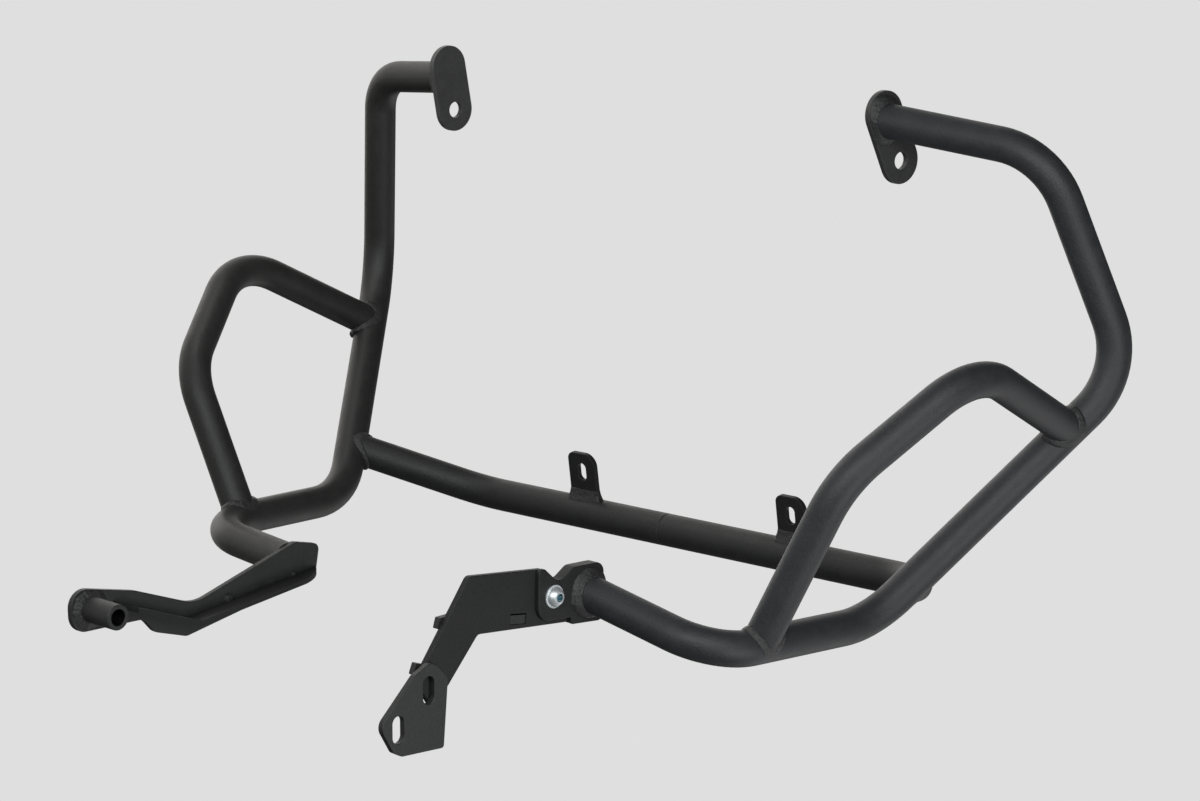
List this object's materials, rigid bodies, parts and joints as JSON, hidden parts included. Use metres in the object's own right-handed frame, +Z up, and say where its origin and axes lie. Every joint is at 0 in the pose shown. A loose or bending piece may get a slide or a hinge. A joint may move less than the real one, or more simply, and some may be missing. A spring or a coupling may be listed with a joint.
{
  "type": "motorcycle crash bars",
  "caption": "Joined left and right tubular crash bars: bent steel main tubes with welded outer hoops, a cross tube in front of the engine, and slotted plates that bolt to a motorcycle.",
  "frame": {"origin": "centre of the bounding box of the joined set, as it hangs on the motorcycle", "axes": "+X across the motorcycle towards the bar on the right of the picture, +Y towards the cross tube, +Z up"},
  "size_m": [0.6513, 0.4764, 0.3506],
  "materials": {
    "tube_coat": "matte black powder coat with a fine texture",
    "plate_coat": "matte black powder coat, thin bright edges",
    "weld_coat": "rippled weld bead under matte black powder coat",
    "bush_coat": "satin black coat over a turned surface",
    "zinc": "bright zinc plate",
    "bare_steel": "bare drawn steel"
  },
  "bodies": {
    "root": {"adapter_bolt": "zinc", "adapter_nut": "zinc", "adapter_washer": "zinc", "cross_joint_spigot": "bare_steel", "left_bracket_rib": "plate_coat", "left_bush_weld": "weld_coat", "left_cross_tab": "plate_coat", "left_cross_tube": "tube_coat", "left_cross_weld": "weld_coat", "left_end_weld": "weld_coat", "left_hoop_lower_weld": "weld_coat", "left_hoop_tube": "tube_coat", "left_hoop_upper_weld": "weld_coat", "left_lower_bracket": "plate_coat", "left_main_tube": "tube_coat", "left_spacer_bush": "bush_coat", "left_tab_welds": "weld_coat", "left_top_plate": "plate_coat", "left_top_weld": "weld_coat", "right_adapter_plate": "plate_coat", "right_adapter_stiffener": "plate_coat", "right_cross_tab": "plate_coat", "right_cross_tube": "tube_coat", "right_cross_weld": "weld_coat", "right_end_bracket": "plate_coat", "right_end_weld": "weld_coat", "right_hoop_lower_weld": "weld_coat", "right_hoop_tube": "tube_coat", "right_hoop_upper_weld": "weld_coat", "right_main_tube": "tube_coat", "right_mount_plate": "plate_coat", "right_tab_welds": "weld_coat", "right_top_plate": "plate_coat", "right_top_weld": "weld_coat"}
  },
  "joints": []
}
